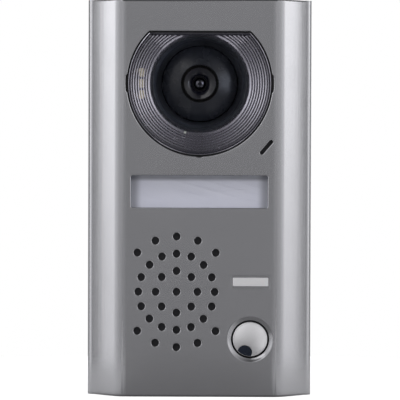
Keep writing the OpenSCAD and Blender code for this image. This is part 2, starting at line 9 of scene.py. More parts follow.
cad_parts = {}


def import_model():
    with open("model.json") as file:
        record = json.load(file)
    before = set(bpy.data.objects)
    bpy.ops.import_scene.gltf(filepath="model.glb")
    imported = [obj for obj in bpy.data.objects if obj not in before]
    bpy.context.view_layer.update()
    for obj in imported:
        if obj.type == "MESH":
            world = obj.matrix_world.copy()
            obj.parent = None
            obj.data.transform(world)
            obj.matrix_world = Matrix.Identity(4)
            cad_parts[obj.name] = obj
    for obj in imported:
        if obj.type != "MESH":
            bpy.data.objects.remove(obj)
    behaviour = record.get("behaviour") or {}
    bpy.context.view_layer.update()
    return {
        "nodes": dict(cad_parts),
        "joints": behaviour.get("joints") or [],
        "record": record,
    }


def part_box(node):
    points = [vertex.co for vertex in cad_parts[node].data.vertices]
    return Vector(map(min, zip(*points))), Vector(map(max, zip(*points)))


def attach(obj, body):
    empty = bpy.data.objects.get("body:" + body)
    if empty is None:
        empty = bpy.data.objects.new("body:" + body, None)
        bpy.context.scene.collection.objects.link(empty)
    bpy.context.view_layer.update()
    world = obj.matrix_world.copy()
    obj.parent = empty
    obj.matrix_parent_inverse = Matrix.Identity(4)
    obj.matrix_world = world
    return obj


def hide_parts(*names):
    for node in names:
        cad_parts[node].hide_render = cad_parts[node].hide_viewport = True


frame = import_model()
RECORD = frame["record"]
MM = 0.001


# ---------- sizes, in millimetres, read from the CAD frame ----------

def box_mm(node):
    low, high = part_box(node)
    return low / MM, high / MM


def middle(node):
    low, high = box_mm(node)
    return (low + high) / 2


def size(node):
    low, high = box_mm(node)
    return high - low


COVER_LOW, COVER_HIGH = box_mm("front_cover")
FRONT = COVER_LOW.y                                  # plane of the flat front
HALF_H = COVER_HIGH.z
JOINT = box_mm("chassis")[0].y                       # plane where the cover meets the chassis
COVER_DEPTH = JOINT - FRONT
COVER_WALL = box_mm("window_gasket")[0].y - FRONT
BEND_R, SIDE_R, BEND_END = 9.0, 100.0, math.radians(41)
SIDE_DROP = BEND_R + (SIDE_R - BEND_R) * math.cos(BEND_END)
SIDE_REACH = (SIDE_R - BEND_R) * math.sin(BEND_END)
SIDE_END = math.acos((SIDE_DROP - COVER_DEPTH) / SIDE_R)
FLAT_HALF = COVER_HIGH.x + SIDE_REACH - SIDE_R * math.sin(SIDE_END)
FLAT_EDGE = FLAT_HALF + 1.9                          # the openings lie within this, where the bend begins
START_ANGLE = math.asin((FLAT_EDGE - FLAT_HALF) / BEND_R)


def bend_drop(x):
    """How far the front has bent away from its plane at x."""
    into = max(0.0, abs(x) - FLAT_HALF)
    return BEND_R - math.sqrt(BEND_R ** 2 - into ** 2)


WINDOW_RIM = 1.5                                     # hidden rim of the window beyond its opening
WINDOW_R = size("camera_window").x / 2 - WINDOW_RIM
EYE_Z = box_mm("camera_window")[0].z + WINDOW_R + WINDOW_RIM
WINDOW_TOP = box_mm("camera_window")[1].z - EYE_Z - WINDOW_RIM
RING_IN = 21.2                                       # inner edge of the lit ring
EYE = (0.0, EYE_Z)
BALL_R = 18.0                                        # the tilting ball
BALL_Y = frame["joints"][1]["pos_m"][1] / MM         # the ball's tilt axis

NAME_MID = middle("name_window")
NAME_W, NAME_H = size("name_window").x - 3.5, size("name_window").z - 3.6    # its opening in the cover
SPEAKER = middle("speaker_mesh")
SOUND_R = 1.6
BADGE = middle("badge_plate")
BADGE_W, BADGE_H, BADGE_DEEP = 16.7, 5.4, 0.9        # the badge's pocket
BUTTON = middle("call_button_cap")
BUTTON_R = size("call_button_cap").x / 2
MIC = middle("mic_mesh")
MIC_W, MIC_H, MIC_TURN = 7.7, 1.6, math.radians(49)


# ---------- outlines on the front, as lists of (x, z) ----------

QUARTER_TURN = [math.pi / 2 * i / 4 for i in range(5)]


def circle(r, steps, centre=(0, 0)):
    turns = [2 * math.pi * i / steps for i in range(steps)]
    return [(centre[0] + r * math.cos(a), centre[1] + r * math.sin(a)) for a in turns]


def arc(cx, cz, r, a0, a1, steps):
    turns = [a0 + (a1 - a0) * i / steps for i in range(steps + 1)]
    return [(cx + r * math.cos(a), cz + r * math.sin(a)) for a in turns]


def rounded(w, h, r, centre=(0, 0), steps=5, turn=0.0):
    """Rectangle with rounded corners, turned about its centre."""
    points = []
    for sx, sz, a in ((1, -1, -90), (1, 1, 0), (-1, 1, 90), (-1, -1, 180)):
        points += arc(sx * (w / 2 - r), sz * (h / 2 - r), r, math.radians(a), math.radians(a + 90), steps)
    c, s = math.cos(turn), math.sin(turn)
    return [(centre[0] + x * c - z * s, centre[1] + x * s + z * c) for x, z in points]


def d_outline(r, top, corner, steps, notches):
    """Circle with a flat top and rounded corners; notches are (angle, half width angle, extra radius)."""
    reach = math.sqrt((r - corner) ** 2 - (top - corner) ** 2)
    lean = math.atan2(top - corner, reach)
    points = []
    start, end = -math.pi - lean, lean
    for i in range(steps + 1):
        a = start + (end - start) * i / steps
        grow = 0
        for angle, half, extra in notches:
            if abs(a - angle) < half or abs(a - angle + 2 * math.pi) < half:
                grow = extra
        points.append(((r + grow) * math.cos(a), (r + grow) * math.sin(a)))
    points += arc(reach, top - corner, corner, lean, math.pi / 2, 4)[1:]
    points += arc(-reach, top - corner, corner, math.pi / 2, math.pi - lean, 4)[:-1]
    return points


def shifted(points, x, z):
    return [(px + x, pz + z) for px, pz in points]


def grown(points, by):
    """Outline moved outwards along its own normals; points run counter-clockwise."""
    out, n = [], len(points)
    for i in range(n):
        ax, az = points[i - 1]
        bx, bz = points[(i + 1) % n]
        tx, tz = bx - ax, bz - az
        length = math.hypot(tx, tz) or 1
        out.append((points[i][0] + by * tz / length, points[i][1] - by * tx / length))
    return out


# ---------- mesh building ----------

SHARP = 32                                           # degrees; edges steeper than this stay crisp


class Builder:
    """Collects loops of points in millimetres and joins them into faces."""

    def __init__(self):
        self.bm = bmesh.new()
        self.zone = 0

    def loop(self, outline, y):
        return [self.bm.verts.new((x * MM, y * MM, z * MM)) for x, z in outline]

    def point(self, x, y, z):
        return self.bm.verts.new((x * MM, y * MM, z * MM))

    def face(self, verts):
        if len(set(verts)) > 2:
            f = self.bm.faces.new(verts)
            f.material_index = self.zone

    def bridge(self, a, b):
        """Quads between two closed loops."""
        n = len(a)
        for i in range(n):
            j = (i + 1) % n
            self.face((a[i], a[j], b[j], b[i]))

    def bridge_all(self, loops):
        for a, b in zip(loops, loops[1:]):
            self.bridge(a, b)

    def solid(self, loops):
        """Bridged loops with both ends filled."""
        self.bridge_all(loops)
        self.fill(loops[0])
        self.fill(loops[-1])

    def fill(self, outer, holes=()):
        """Flat face of triangles inside outer and round the holes."""
        loops = [outer, *holes]
        flat = [v for loop in loops for v in loop]
        for tri in tessellate_polygon([[v.co for v in loop] for loop in loops]):
            self.face([flat[i] for i in tri])

    def object(self, name, materials, sharp=SHARP, even_shading=True):
        bmesh.ops.remove_doubles(self.bm, verts=self.bm.verts, dist=1e-6)
        bmesh.ops.dissolve_degenerate(self.bm, edges=self.bm.edges, dist=1e-8)
        bmesh.ops.recalc_face_normals(self.bm, faces=self.bm.faces)
        mesh = bpy.data.meshes.new(name)
        self.bm.to_mesh(mesh)
        self.bm.free()
        for m in materials if isinstance(materials, list) else [materials]:
            mesh.materials.append(m)
        mesh.shade_smooth()
        mesh.set_sharp_from_angle(angle=math.radians(sharp))
        obj = bpy.data.objects.new(name, mesh)
        bpy.context.scene.collection.objects.link(obj)
        if even_shading:
            even = obj.modifiers.new("even_shading", "WEIGHTED_NORMAL")
            even.keep_sharp = True
            even.weight = 90
        return obj


def placed(obj, body, slot, *nodes):
    """Puts a piece on its body and hides the CAD nodes that it replaces; slot is not used."""
    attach(obj, body)
    if nodes:
        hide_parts(*nodes)
    return obj


def lathe(name, profile, centre, materials, steps=128, zones=(), close=True):
    """Turned piece about an axis along Y through centre (x, z).

    The profile is a list of (radius, y), and zones gives the material of each of its first segments.
    """
    b = Builder()
    rings = []
    for r, y in profile:
        if r > 0:
            rings.append(b.loop(circle(r, steps, centre), y))
        else:
            rings.append([b.point(centre[0], y, centre[1])] * steps)
    pairs = list(zip(rings, rings[1:]))
    if close:
        pairs.append((rings[-1], rings[0]))
    for i, (a, c) in enumerate(pairs):
        b.zone = zones[i] if i < len(zones) else 0
        for k in range(steps):
            j = (k + 1) % steps
            b.face(list(dict.fromkeys((a[k], a[j], c[j], c[k]))))
    return b.object(name, materials)


def cut(obj, tool, operation):
    """Applies an exact boolean and deletes the tool."""
    mod = obj.modifiers.new("cut", "BOOLEAN")
    mod.operation = operation
    mod.solver = "EXACT"
    mod.object = tool
    shading = [m for m in obj.modifiers if m.type == "WEIGHTED_NORMAL"]
    for m in shading:
        m.show_viewport = False
    bpy.context.view_layer.update()
    made = bpy.data.meshes.new_from_object(obj.evaluated_get(bpy.context.evaluated_depsgraph_get()))
    obj.modifiers.remove(mod)
    obj.data = made
    for m in shading:
        m.show_viewport = True
    bpy.data.objects.remove(tool)
    made.set_sharp_from_angle(angle=math.radians(SHARP))


# ---------- materials ----------

def map_range(tree, value, numbers, smooth=False):
    """Map Range node; numbers are from min, from max, to min and to max."""
    n = tree.nodes.new("ShaderNodeMapRange")
    n.interpolation_type = "SMOOTHSTEP" if smooth else "LINEAR"
    for socket, number in zip(("From Min", "From Max", "To Min", "To Max"), numbers):
        n.inputs[socket].default_value = number
    tree.links.new(value, n.inputs["Value"])
    return n.outputs["Result"]


def maths(tree, kind, a, b=None):
    """Math node on a socket; b is a second socket, a number or nothing."""
    n = tree.nodes.new("ShaderNodeMath")
    n.operation = kind
    tree.links.new(a, n.inputs[0])
    if isinstance(b, bpy.types.NodeSocket):
        tree.links.new(b, n.inputs[1])
    elif b is not None:
        n.inputs[1].default_value = b
    return n.outputs["Value"]


NOISE_SPAN = (0.3, 0.7)                              # where nearly all of a noise texture's values lie


class Paint:
    """A node material with the few building blocks that the surfaces share."""

    def __init__(self, name, color, metallic=0.0, roughness=0.4, **sockets):
        self.mat = bpy.data.materials.new(name)
        self.mat.use_nodes = True
        self.tree = self.mat.node_tree
        self.shader = self.tree.nodes["Principled BSDF"]
        self.set("Base Color", (*color, 1))
        self.set("Metallic", metallic)
        self.set("Roughness", roughness)
        for key, value in sockets.items():
            self.set(key.replace("_", " "), value)
        self.color = color
        self.place = self.node("ShaderNodeTexCoord").outputs["Object"]
        self.height = None

    def set(self, socket, value):
        self.shader.inputs[socket].default_value = value

    def node(self, kind, **values):
        n = self.tree.nodes.new(kind)
        for key, value in values.items():
            setattr(n, key, value)
        return n

    def link(self, a, b):
        self.tree.links.new(a, b)

    def scaled(self, scale):
        n = self.node("ShaderNodeMapping")
        self.link(self.place, n.inputs["Vector"])
        n.inputs["Scale"].default_value = scale
        return n.outputs["Vector"]

    def noise(self, per_m, detail=2.0, scale=None):
        n = self.node("ShaderNodeTexNoise")
        self.link(self.scaled(scale) if scale else self.place, n.inputs["Vector"])
        n.inputs["Scale"].default_value = per_m
        n.inputs["Detail"].default_value = detail
        return n.outputs["Fac"]

    def spread(self, fac, low, high):
        return map_range(self.tree, fac, (*NOISE_SPAN, low, high))

    def tint(self, fac, low, high):
        """Colour varies between low and high times the base."""
        n = self.node("ShaderNodeMix", data_type="RGBA")
        self.link(self.spread(fac, 0, 1), n.inputs["Factor"])
        n.inputs["A"].default_value = (*[c * low for c in self.color], 1)
        n.inputs["B"].default_value = (*[min(1, c * high) for c in self.color], 1)
        self.link(n.outputs["Result"], self.shader.inputs["Base Color"])
        return self

    def rough(self, fac, low, high):
        self.link(self.spread(fac, low, high), self.shader.inputs["Roughness"])
        return self

    def bump(self, fac, depth_mm, strength=1.0):
        n = self.node("ShaderNodeBump")
        n.inputs["Distance"].default_value = depth_mm * MM
        n.inputs["Strength"].default_value = strength
        self.link(fac, n.inputs["Height"])
        if self.height:
            self.link(self.height, n.inputs["Normal"])
        self.height = n.outputs["Normal"]
        self.link(self.height, self.shader.inputs["Normal"])
        return self


def metallic_paint(name, color, roughness):
    """Silver-grey paint with flakes, and faint streaks down the panel."""
    p = Paint(name, color, metallic=0.82, roughness=roughness, Coat_Weight=0.25, Coat_Roughness=0.12)
    flake = p.noise(9000, 1)
    cloud = p.noise(60, 3)
    streak = p.noise(650, 3, (1, 1, 0.03))
    p.tint(flake, 0.93, 1.07).rough(cloud, roughness - 0.02, roughness + 0.03)
    p.bump(flake, 0.012, 0.35)
    p.bump(p.noise(1800, 2), 0.006, 0.3)
    return p.bump(streak, 0.03, 0.5).mat


def plastic(name, color, roughness, grain_mm=0.4, depth=0.02, **sockets):
    """Moulded surface with a fine grain."""
    p = Paint(name, color, roughness=roughness, **sockets)
    grain = p.noise(1000 / grain_mm, 3)
    p.tint(p.noise(90, 3), 0.9, 1.1).rough(grain, roughness * 0.85, min(1, roughness * 1.15))
    return p.bump(grain, depth, 0.5).mat


def polished_black(name, color, roughness, shine=0.5):
    """Smooth dark plastic or glass with a trace of dust."""
    p = Paint(name, color, roughness=roughness, Specular_IOR_Level=shine)
    dust = p.noise(700, 4)
    p.tint(dust, 0.9, 1.15).rough(p.noise(150, 3), roughness * 0.9, roughness * 1.15)
    return p.bump(dust, 0.0006, 0.15).mat


def brushed(name, color, roughness, squeeze=(1, 1, 30)):
    """Metal with a fine grain, squeezed into level lines unless squeeze is even."""
    p = Paint(name, color, metallic=1.0, roughness=roughness)
    lines = p.noise(400, 3, squeeze)
    p.tint(lines, 0.93, 1.05).rough(lines, roughness * 0.8, roughness * 1.25)
    return p.bump(lines, 0.004, 0.35).mat


def satin(name, color, roughness, metallic):
    """Fine bead-blasted metal."""
    p = Paint(name, color, metallic=metallic, roughness=roughness)
    grain = p.noise(6000, 2)
    p.tint(grain, 0.95, 1.04).rough(p.noise(250, 3), roughness * 0.92, roughness * 1.1)
    return p.bump(grain, 0.006, 0.3).mat


GLANCE_POWER = 5                                     # how sharply clear plastic turns mirror-like


def clear(name, color, haze, roughness):
    """Clear plastic: see-through face on, mirror-like at a glancing angle, with a little haze."""
    p = Paint(name, color, metallic=0.9, roughness=roughness)
    grain = p.noise(300, 3)
    p.rough(grain, roughness * 0.8, roughness * 1.4)
    rim = p.node("ShaderNodeLayerWeight")
    rim.inputs["Blend"].default_value = 0.5
    steep = maths(p.tree, "POWER", rim.outputs["Facing"], GLANCE_POWER)
    alpha = maths(p.tree, "MINIMUM", maths(p.tree, "ADD", steep, haze), 1.0)
    p.link(alpha, p.shader.inputs["Alpha"])
    return p.bump(grain, 0.001, 0.05).mat


def woven(name, color):
    """Cloth of crossing threads."""
    p = Paint(name, color, roughness=0.9)
    threads = []
    for direction in "XZ":
        wave = p.node("ShaderNodeTexWave", wave_type="BANDS", bands_direction=direction)
        wave.inputs["Scale"].default_value = 900
        p.link(p.place, wave.inputs["Vector"])
        threads.append(wave.outputs["Fac"])
    weave = maths(p.tree, "MAXIMUM", *threads)
    p.tint(weave, 0.6, 1.8)
    return p.bump(weave, 0.08, 0.8).mat


def board_green(name, color):
    """Circuit board under solder mask, with tracks."""
    p = Paint(name, color, roughness=0.3, Coat_Weight=0.4, Coat_Roughness=0.1)
    tracks = p.node("ShaderNodeTexBrick")
    p.link(p.place, tracks.inputs["Vector"])
    tracks.inputs["Scale"].default_value = 260
    tracks.inputs["Mortar Size"].default_value = 0.03
    tracks.inputs["Color1"].default_value = (*color, 1)
    tracks.inputs["Color2"].default_value = (*[c * 1.25 for c in color], 1)
    tracks.inputs["Mortar"].default_value = (*[c * 1.7 for c in color], 1)
    p.link(tracks.outputs["Color"], p.shader.inputs["Base Color"])
    return p.bump(p.noise(1200, 2), 0.01, 0.3).mat


# Painted light on the name card: a painted glow, and painted shade that darkens it under the opening's upper
# edge and towards both ends and lightens it towards the bottom.
CARD_PAINTED_GLOW = 0.16
CARD_PAINTED_SHADE, CARD_PAINTED_LIT = (0.06, 0.065, 0.09, 1), (0.68, 0.68, 0.76, 1)
END_PAINTED_SHADE, TOP_PAINTED_SHADE = (-5, -1, 0.55), (-3, -1, 0.45)  # mm from the opening's edge, and the light that is left


def card_with_painted_light(name):
    """Name card with painted shade, darker under its upper edge and towards both ends and lighter towards
    the bottom, and a painted glow dimmed the same way.
    """
    p = Paint(name, (0.5, 0.5, 0.56), roughness=0.55)
    split = p.node("ShaderNodeSeparateXYZ")
    p.link(p.place, split.inputs["Vector"])
    across, up = maths(p.tree, "ABSOLUTE", split.outputs["X"]), split.outputs["Z"]
    side, bottom, top = NAME_W / 2, NAME_MID.z - NAME_H / 2, NAME_MID.z + NAME_H / 2

    def fade(value, start, stop, left):
        return map_range(p.tree, value, (start * MM, stop * MM, 1.0, left), smooth=True)

    # painted shade towards the ends and under the upper edge, and lighter towards the bottom
    ends = fade(across, side + END_PAINTED_SHADE[0], side + END_PAINTED_SHADE[1], END_PAINTED_SHADE[2])
    shade = fade(up, top + TOP_PAINTED_SHADE[0], top + TOP_PAINTED_SHADE[1], TOP_PAINTED_SHADE[2])
    slope = fade(up, bottom, top - 2, 0.8)
    light = maths(p.tree, "MULTIPLY", maths(p.tree, "MULTIPLY", ends, shade), slope)
    mix = p.node("ShaderNodeMix", data_type="RGBA")
    p.link(light, mix.inputs["Factor"])
    mix.inputs["A"].default_value = CARD_PAINTED_SHADE
    mix.inputs["B"].default_value = CARD_PAINTED_LIT
    p.link(mix.outputs["Result"], p.shader.inputs["Base Color"])
    # painted glow, dimmed by the same painted shade
    p.set("Emission Color", (0.9, 0.92, 1, 1))
    p.link(maths(p.tree, "MULTIPLY", light, CARD_PAINTED_GLOW), p.shader.inputs["Emission Strength"])
    return p.bump(p.noise(5000, 3), 0.01, 0.5).mat


MAT = {
    "satin_cover": metallic_paint("satin_cover_paint", (0.40, 0.40, 0.415), 0.18),
    "satin_chassis": metallic_paint("satin_chassis_paint", (0.42, 0.42, 0.435), 0.18),
    "zinc_steel": brushed("zinc_plated_steel", (0.58, 0.59, 0.61), 0.36),
    "bright_screw": brushed("bright_screw_plating", (0.7, 0.7, 0.7), 0.25),
    "clear_plastic": clear("clear_polycarbonate", (0.72, 0.78, 0.9), 0.0, 0.04),
    "diffuser_plastic": brushed("silvered_reflector", (0.62, 0.6, 0.72), 0.22, (1, 1, 1)),
    "black_rubber": plastic("black_seal_rubber", (0.018, 0.018, 0.02), 0.62, 0.3, 0.03),
    "black_gloss": polished_black("polished_black_plastic", (0.0145, 0.016, 0.0215), 0.26, 0.3),
    "black_matte": plastic("fine_black_plastic", (0.015, 0.0155, 0.017), 0.4, 0.25, 0.02),
    "lens_coated": polished_black("coated_lens", (0.004, 0.004, 0.008), 0.05, 0.2),
    "board_green": board_green("solder_mask", (0.02, 0.13, 0.06)),
    "chip_black": plastic("moulded_chip_black", (0.02, 0.02, 0.02), 0.5),
    "led_clear": plastic("clear_led_body", (0.85, 0.8, 0.5), 0.2, 0.5, 0.01),
    "sensor_clear": plastic("clear_sensor_body", (0.62, 0.64, 0.6), 0.15, 0.5, 0.005),
    "white_card": card_with_painted_light("name_card_painted_shade_and_glow"),
    "white_plastic": plastic("white_moulding", (0.7, 0.7, 0.72), 0.4),
    "light_guide": clear("acrylic_light_guide", (0.85, 0.87, 0.93), 0.12, 0.08),
    "satin_steel": satin("satin_button_metal", (0.93, 0.925, 0.935), 0.3, 0.95),
    "navy_gloss": polished_black("tinted_navy_plastic", (0.01, 0.016, 0.03), 0.12),
    "spring_steel": brushed("spring_wire", (0.5, 0.5, 0.52), 0.25),
    "mesh_black": woven("acoustic_cloth", (0.03, 0.03, 0.033)),
    "capsule_alu": brushed("drawn_aluminium", (0.7, 0.7, 0.7), 0.3),
    "cone_paper": plastic("treated_paper_cone", (0.04, 0.038, 0.035), 0.75, 0.5, 0.05),
    "magnet_iron": plastic("zinc_passivated_iron", (0.16, 0.16, 0.17), 0.4, 0.6, 0.02, Metallic=0.8),
    "wire_red": plastic("wire_sleeve", (0.4, 0.02, 0.02), 0.3),
    "can_blue": plastic("capacitor_sleeve", (0.03, 0.04, 0.14), 0.25),
    "relay_blue": plastic("relay_housing", (0.03, 0.07, 0.28), 0.3),
    "terminal_green": plastic("terminal_housing", (0.03, 0.2, 0.08), 0.35),
    "brass_plated": brushed("plated_brass", (0.62, 0.53, 0.32), 0.28),
}

# finishes of pieces, or of zones on them, that differ from the rest of their slot
RIBBED_CLEAR = clear("ribbed_polycarbonate", (0.42, 0.41, 0.46), 0.88, 0.14)
# dark copy of the ribbed plastic: painted shade on the ribs' steep flanks and on the plate's edge and flat
# rim
RIB_PAINTED_SHADE = clear("rib_flank_painted_shade", (0.05, 0.05, 0.065), 0.6, 0.3)
# warm phosphor colour with a painted glow that brightens the left side of the ring
PHOSPHOR_PAINTED_GLOW = plastic("warm_phosphor_painted_glow", (0.95, 0.88, 0.68), 0.4, 0.5, 0.01, Emission_Color=(1, 0.9, 0.66, 1),
                   Emission_Strength=0.55)
# lighter grey for the shaded inner wall and floor of the funnel: painted light
FUNNEL_PAINTED_LIGHT = plastic("funnel_inside_painted_light", (0.055, 0.061, 0.078), 0.45, 0.3, 0.01)
BARREL_BLACK = polished_black("anodised_barrel", (0.002, 0.002, 0.003), 0.3, 0.2)
BARREL_FACE = polished_black("barrel_face", (0.002, 0.002, 0.006), 0.13, 0.55)
LENS_RIM = satin("lens_rim_coating", (0.085, 0.085, 0.1), 0.12, 1.0)
BADGE_FINISH = satin("satin_badge_metal", (0.95, 0.945, 0.955), 0.38, 0.6)

# these two glow too faintly to be sampled as lamps
for faint in (PHOSPHOR_PAINTED_GLOW, MAT["white_card"]):
    faint.cycles.emission_sampling = "NONE"

# carried-over CAD nodes take the material of their slot
for part in RECORD["subparts"]:
    cad = frame["nodes"][part["node"]]
    cad.data.materials.clear()
    cad.data.materials.append(MAT[part["material_slot"]])
    cad.data.shade_smooth()
    cad.data.set_sharp_from_angle(angle=math.radians(SHARP))


# ---------- front cover ----------

EDGE_R = 1.0                                         # rounding of the cover's top and bottom edges
RIM_R = 0.35                                         # rounding of its side edges at the chassis
HOLE_ROUND = 0.42
BEND_STEPS, SIDE_STEPS, FRONT_CUTS = 10, 12, 5
HOLE_RINGS = ((9.1, 45, range(8)), (16.6, 22.5, range(16)))         # radius, degrees apart, which ones
OUTER_R, OUTER_APART = 24.1, 22.5                    # the outer ring has holes above and below only
NOTCHES = [(0, 0.11, 0.55), (-math.pi, 0.11, 0.55), (math.pi, 0.11, 0.55), (-math.pi / 2, 0.05, 0.35)]
# radius and depth of the dished surround of the button
DISH = [(10.1, 0), (9.95, 0.03), (9.8, 0.1), (9.5, 0.3), (9.1, 0.54), (8.7, 0.74), (8.45, 0.83),
        (8.35, 0.88), (8.29, 0.98), (8.27, 1.15), (8.27, COVER_WALL)]


def side_curve(inset):
    """Right half of the cover's outline from the flat front to the joint, as (x, y)."""
    def at(turn, centre_x, centre_y, r):
        return (centre_x + r * math.sin(turn), centre_y - r * math.cos(turn))

    def sweep(start, stop, steps, first, curve):
        return [at(start + (stop - start) * i / steps, *curve) for i in range(first, steps + 1)]

    bend = (FLAT_HALF, FRONT + BEND_R, BEND_R - inset)
    side = (FLAT_HALF - SIDE_REACH, FRONT + SIDE_DROP, SIDE_R - inset)
    drop = SIDE_DROP + FRONT - JOINT
    stop = math.acos((drop + RIM_R) / (SIDE_R - inset))
    points = sweep(START_ANGLE, BEND_END, BEND_STEPS, 0, bend) + sweep(BEND_END, stop, SIDE_STEPS, 1, side)
    last = points[-1]
    corner = at(math.acos(drop / (SIDE_R - inset)), *side)
    inner = (corner[0] - RIM_R, JOINT)
    for t in (0.25, 0.5, 0.75, 1.0):
        points.append(tuple((1 - t) ** 2 * p + 2 * t * (1 - t) * q + t * t * r
                            for p, q, r in zip(last, corner, inner)))
    x, y = points[0]
    points[0] = (x, y - bend_drop(x))
    return points


def bend_front(b):
    """Splits the front near both sides and bends it into the sides."""
    skin = [f for f in b.bm.faces if all(abs(v.co.y - FRONT * MM) < 1e-6 for v in f.verts)]
    for i in range(FRONT_CUTS):
        for side in (-1, 1):
            at = (side * (FLAT_HALF + i * (FLAT_EDGE - FLAT_HALF) / FRONT_CUTS) * MM, 0, 0)
            verts = list(dict.fromkeys(v for f in skin for v in f.verts))
            edges = list(dict.fromkeys(e for f in skin for e in f.edges))
            made = bmesh.ops.bisect_plane(b.bm, geom=verts + edges + skin, plane_co=at,
                                          plane_no=(1, 0, 0), dist=1e-7)
            skin = [f for f in made["geom"] if isinstance(f, bmesh.types.BMFace)]
    for v in b.bm.verts:
        if abs(v.co.x) < (FLAT_EDGE + 0.001) * MM:
            v.co.y += bend_drop(v.co.x / MM) * MM


def cover_ring(b, inset, z):
    right = side_curve(inset)
    ring = [b.point(-x, y, z) for x, y in reversed(right)]
    return ring + [b.point(x, y, z) for x, y in right]


def sound_holes():
    places = [(0, 0)]
    for r, apart, which in HOLE_RINGS:
        places += [(r, apart * i) for i in which]
    for side in (90, 270):
        places += [(OUTER_R, side + OUTER_APART * i) for i in range(-2, 3)]
    return [(SPEAKER.x + r * math.cos(math.radians(a)), SPEAKER.z + r * math.sin(math.radians(a)))
            for r, a in places]


def through_hole(b, outline, back, edge=HOLE_ROUND):
    """Hole with a rounded front edge. Returns its loops on the front and back faces."""
    loops = [b.loop(grown(outline, edge * (1 - math.sin(a))), FRONT + edge * (1 - math.cos(a)))
             for a in QUARTER_TURN]
    loops.append(b.loop(outline, back))
    b.bridge_all(loops)
    return loops[0], loops[-1]


def cover_openings(b):
    """All openings in the front. Returns their loops on the front and back faces."""
    holes = [shifted(d_outline(WINDOW_R, WINDOW_TOP, 1.0, 180, NOTCHES), *EYE),
             rounded(NAME_W, NAME_H, 0.8, (NAME_MID.x, NAME_MID.z)),
             rounded(MIC_W, MIC_H, 0.79, (MIC.x, MIC.z), 8, MIC_TURN)]
    holes += [circle(SOUND_R, 32, centre) for centre in sound_holes()]
    loops = [through_hole(b, outline, FRONT + COVER_WALL) for outline in holes]
    fronts = [front for front, _ in loops]
    backs = [back for _, back in loops]
    outline = rounded(BADGE_W, BADGE_H, 0.5, (BADGE.x, BADGE.z))
    pocket, bottom = through_hole(b, outline, FRONT + BADGE_DEEP, 0.18)
    b.fill(bottom)
    dish = [b.loop(circle(r, 96, (BUTTON.x, BUTTON.z)), FRONT + deep) for r, deep in DISH]
    b.bridge_all(dish)
    return fronts + [pocket, dish[0]], backs + [dish[-1]]


def outer_skin(b, fronts):
    """Outside of the cover with rounded ends. Returns its rings from bottom to top."""
    stations = [(EDGE_R * (1 - math.sin(a)), HALF_H - EDGE_R * (1 - math.cos(a))) for a in QUARTER_TURN]
    skin = [cover_ring(b, t, -z) for t, z in stations] + [cover_ring(b, t, z) for t, z in reversed(stations)]
    half = len(skin[0]) // 2
    for i, (a, c) in enumerate(zip(skin, skin[1:])):
        for k in range(len(a) - 1):
            if i != len(stations) - 1 or k != half - 1:
                b.face((a[k], a[k + 1], c[k + 1], c[k]))
    low, high = skin[len(stations) - 1], skin[len(stations)]
    b.fill([low[half - 1], low[half], high[half], high[half - 1]], fronts)
    b.fill(skin[0])
    b.fill(skin[-1])
    return skin


def inner_skin(b, backs):
    """Inside of the cover. Returns its bottom and top rings."""
    low, high = [cover_ring(b, COVER_WALL, s * (HALF_H - COVER_WALL)) for s in (-1, 1)]
    half = len(low) // 2
    for k in range(len(low) - 1):
        if k != half - 1:
            b.face((low[k], low[k + 1], high[k + 1], high[k]))
    b.fill([low[half - 1], low[half], high[half], high[half - 1]], backs)
    b.fill(low)
    b.fill(high)
    return low, high


def front_cover():
    b = Builder()
    fronts, backs = cover_openings(b)
    skin = outer_skin(b, fronts)
    low, high = inner_skin(b, backs)
    # rim that sits on the chassis
    outer = [ring[0] for ring in skin] + [ring[-1] for ring in reversed(skin)]
    b.fill(outer, [[low[0], low[-1], high[-1], high[0]]])
    bend_front(b)
    placed(b.object("cover_shell", MAT["satin_cover"]), "panel", "satin_cover", "front_cover")


front_cover()


# ---------- camera window and what is behind it ----------

PLATE = box_mm("camera_window")[0].y                 # front of the window plate
PLATE_BACK = PLATE + 2.25
RIB_OUT, RIB_COUNT, RIB_RISE = WINDOW_R - 1.55, 8, 0.48
RIB_PITCH = (RIB_OUT - RING_IN - 0.2) / RIB_COUNT
RIB_SLOPE = 0.68                                     # share of the pitch that a rib's shallow side takes
ROUND = 99                                           # a flat top so high that the ring is a full circle
REFLECTOR = middle("light_diffuser").y - 0.75        # its ridges
UPRIGHT_RIB, UPRIGHT_DEEP, REFLECTOR_DEEP = 1.3, 0.5, 1.8
LED_BAR_W, LED_BAR_H, LED_BAR_STEP, LED_BAR_DEEP = 2.2, 3.7, 4.8, 0.5
LED_BAR_R, LED_BAR_EDGE = WINDOW_R - 6.4, 0.2


def window_edge(angle, r, top):
    """Radius of the D shape along a direction."""
    s = math.sin(angle)
    return min(r, top / s) if s > 0.01 else r


